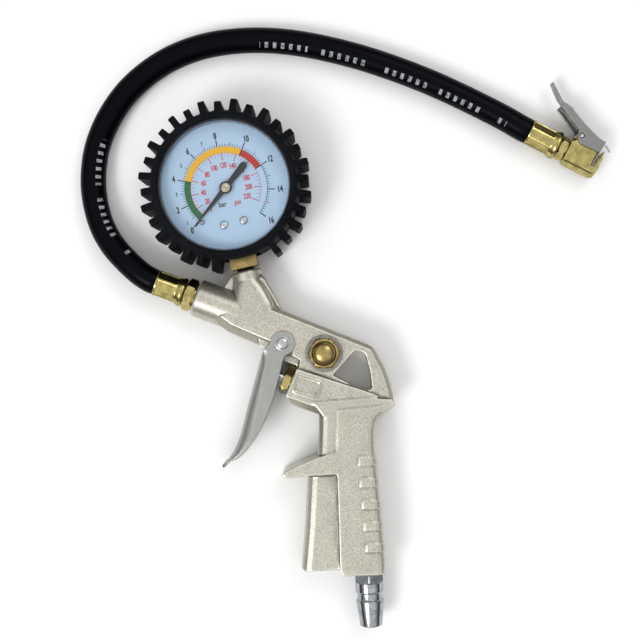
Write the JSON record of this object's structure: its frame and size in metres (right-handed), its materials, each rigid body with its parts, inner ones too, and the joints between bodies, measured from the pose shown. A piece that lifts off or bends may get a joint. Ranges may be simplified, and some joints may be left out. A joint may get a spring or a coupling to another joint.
{
  "type": "tyre inflator gun with dial gauge",
  "caption": "Hand-held tyre inflator gun: cast body with trigger and release button, dial gauge in a lugged rubber boot, short hose and clip-on chuck with thumb lever.",
  "frame": {"origin": "on the gauge's axis, at the back face of its rubber boot, which lies on the surface under the inflator", "axes": "+Z out of the dial towards its reader, -Y down the grip towards the air inlet, +X towards the grip's back edge"},
  "size_m": [0.2615, 0.2946, 0.035],
  "materials": {
    "cast_body": "satin champagne, finely speckled die casting",
    "trigger_metal": "satin grey die casting",
    "steel": "bright zinc-plated steel",
    "chromed_steel": "polished and plated",
    "brass": "polished turned brass",
    "bronze": "drawn phosphor bronze",
    "boot_rubber": "matte moulded rubber",
    "hose_rubber": "smooth satin rubber",
    "seal_rubber": "smooth nitrile rubber",
    "black_metal": "satin black paint",
    "dial_face": "matte white enamel with printed scales",
    "clear_lens": "clear moulded window"
  },
  "bodies": {
    "gun": {"gun_body": "cast_body", "inlet_plug": "chromed_steel", "trigger_rivet": "steel", "valve_nut": "brass", "valve_oring": "seal_rubber", "valve_seat": "seal_rubber", "valve_spring": "steel", "release_lock_washer": "steel", "release_bushing": "brass", "release_spring": "steel", "release_seal": "seal_rubber", "rubber_boot": "boot_rubber", "gauge_case": "black_metal", "lens_gasket": "seal_rubber", "lens": "clear_lens", "bezel_ring": "black_metal", "gauge_socket": "brass", "bourdon_tube": "bronze", "movement_back_plate": "brass", "movement_front_plate": "brass", "movement_pillar_1": "brass", "movement_pillar_2": "brass", "dial_screw_1": "brass", "dial_screw_2": "brass", "hairspring": "bronze", "dial_plate": "dial_face", "stop_pin": "steel", "hose_fitting_gun_end": "brass", "hose_ferrule_gun_end": "brass", "hose": "hose_rubber", "hose_ferrule_chuck_end": "brass", "hose_fitting_chuck_end": "brass", "chuck_body": "brass", "chuck_seal": "seal_rubber", "chuck_depressor": "brass", "lever_pin": "steel", "lever_spring": "steel"},
    "trigger": {"trigger": "trigger_metal"},
    "valve": {"valve_stem": "steel", "valve_poppet": "brass"},
    "release": {"release_button": "brass"},
    "sector": {"sector_gear": "brass"},
    "pointer": {"pinion_arbor": "steel", "needle_hub": "brass", "needle": "black_metal"},
    "link": {"gauge_link": "brass"},
    "tube_tip": {"bourdon_tip": "brass"},
    "chuck_lever": {"chuck_lever": "steel"}
  },
  "joints": [
    {"name": "trigger_hinge", "type": "hinge", "parent": "gun", "child": "trigger", "pos_m": [0.0273, -0.0755, 0.0125], "axis": [0, 0, 1], "range_deg": [0, 10], "stiffness_Nm_per_rad": 2},
    {"name": "valve_slide", "type": "slide", "parent": "gun", "child": "valve", "axis": [0.9304, -0.3665, 0], "range_m": [0, 0.0028], "deforming": ["valve_spring"]},
    {"name": "release_slide", "type": "slide", "parent": "gun", "child": "release", "axis": [0, 0, -1], "range_m": [0, 0.002], "stiffness_N_per_m": 1500, "deforming": ["release_spring"]},
    {"name": "sector_hinge", "type": "hinge", "parent": "gun", "child": "sector", "pos_m": [0.01341, -0.00631, 0.0212], "axis": [0, 0, 1], "range_deg": [0, 50], "stiffness_Nm_per_rad": 0.05},
    {"name": "pointer_hinge", "type": "hinge", "parent": "gun", "child": "pointer", "pos_m": [0.0004, -0.0011, 0.0289], "axis": [0, 0, -1], "range_deg": [0, 267.5], "deforming": ["hairspring"]},
    {"name": "link_hinge", "type": "hinge", "parent": "sector", "child": "link", "pos_m": [0.01006, -0.00932, 0.0224], "axis": [0, 0, 1], "range_deg": [-50, 0]},
    {"name": "tube_tip_slide", "type": "slide", "parent": "gun", "child": "tube_tip", "axis": [0.9205, -0.3907, 0], "range_m": [0, 0.00381]},
    {"name": "chuck_lever_hinge", "type": "hinge", "parent": "gun", "child": "chuck_lever", "pos_m": [0.17359, 0.02598, 0.0074], "axis": [0, 0, 1], "range_deg": [0, 6], "stiffness_Nm_per_rad": 0.5, "deforming": ["lever_spring"]}
  ],
  "couplings": [
    {"joint": "valve_slide", "follows": "trigger_hinge", "m_per_rad": 0.0158},
    {"joint": "pointer_hinge", "follows": "sector_hinge", "ratio": 5.35},
    {"joint": "link_hinge", "follows": "sector_hinge", "ratio": -1},
    {"joint": "tube_tip_slide", "follows": "sector_hinge", "m_per_rad": 0.004358}
  ]
}
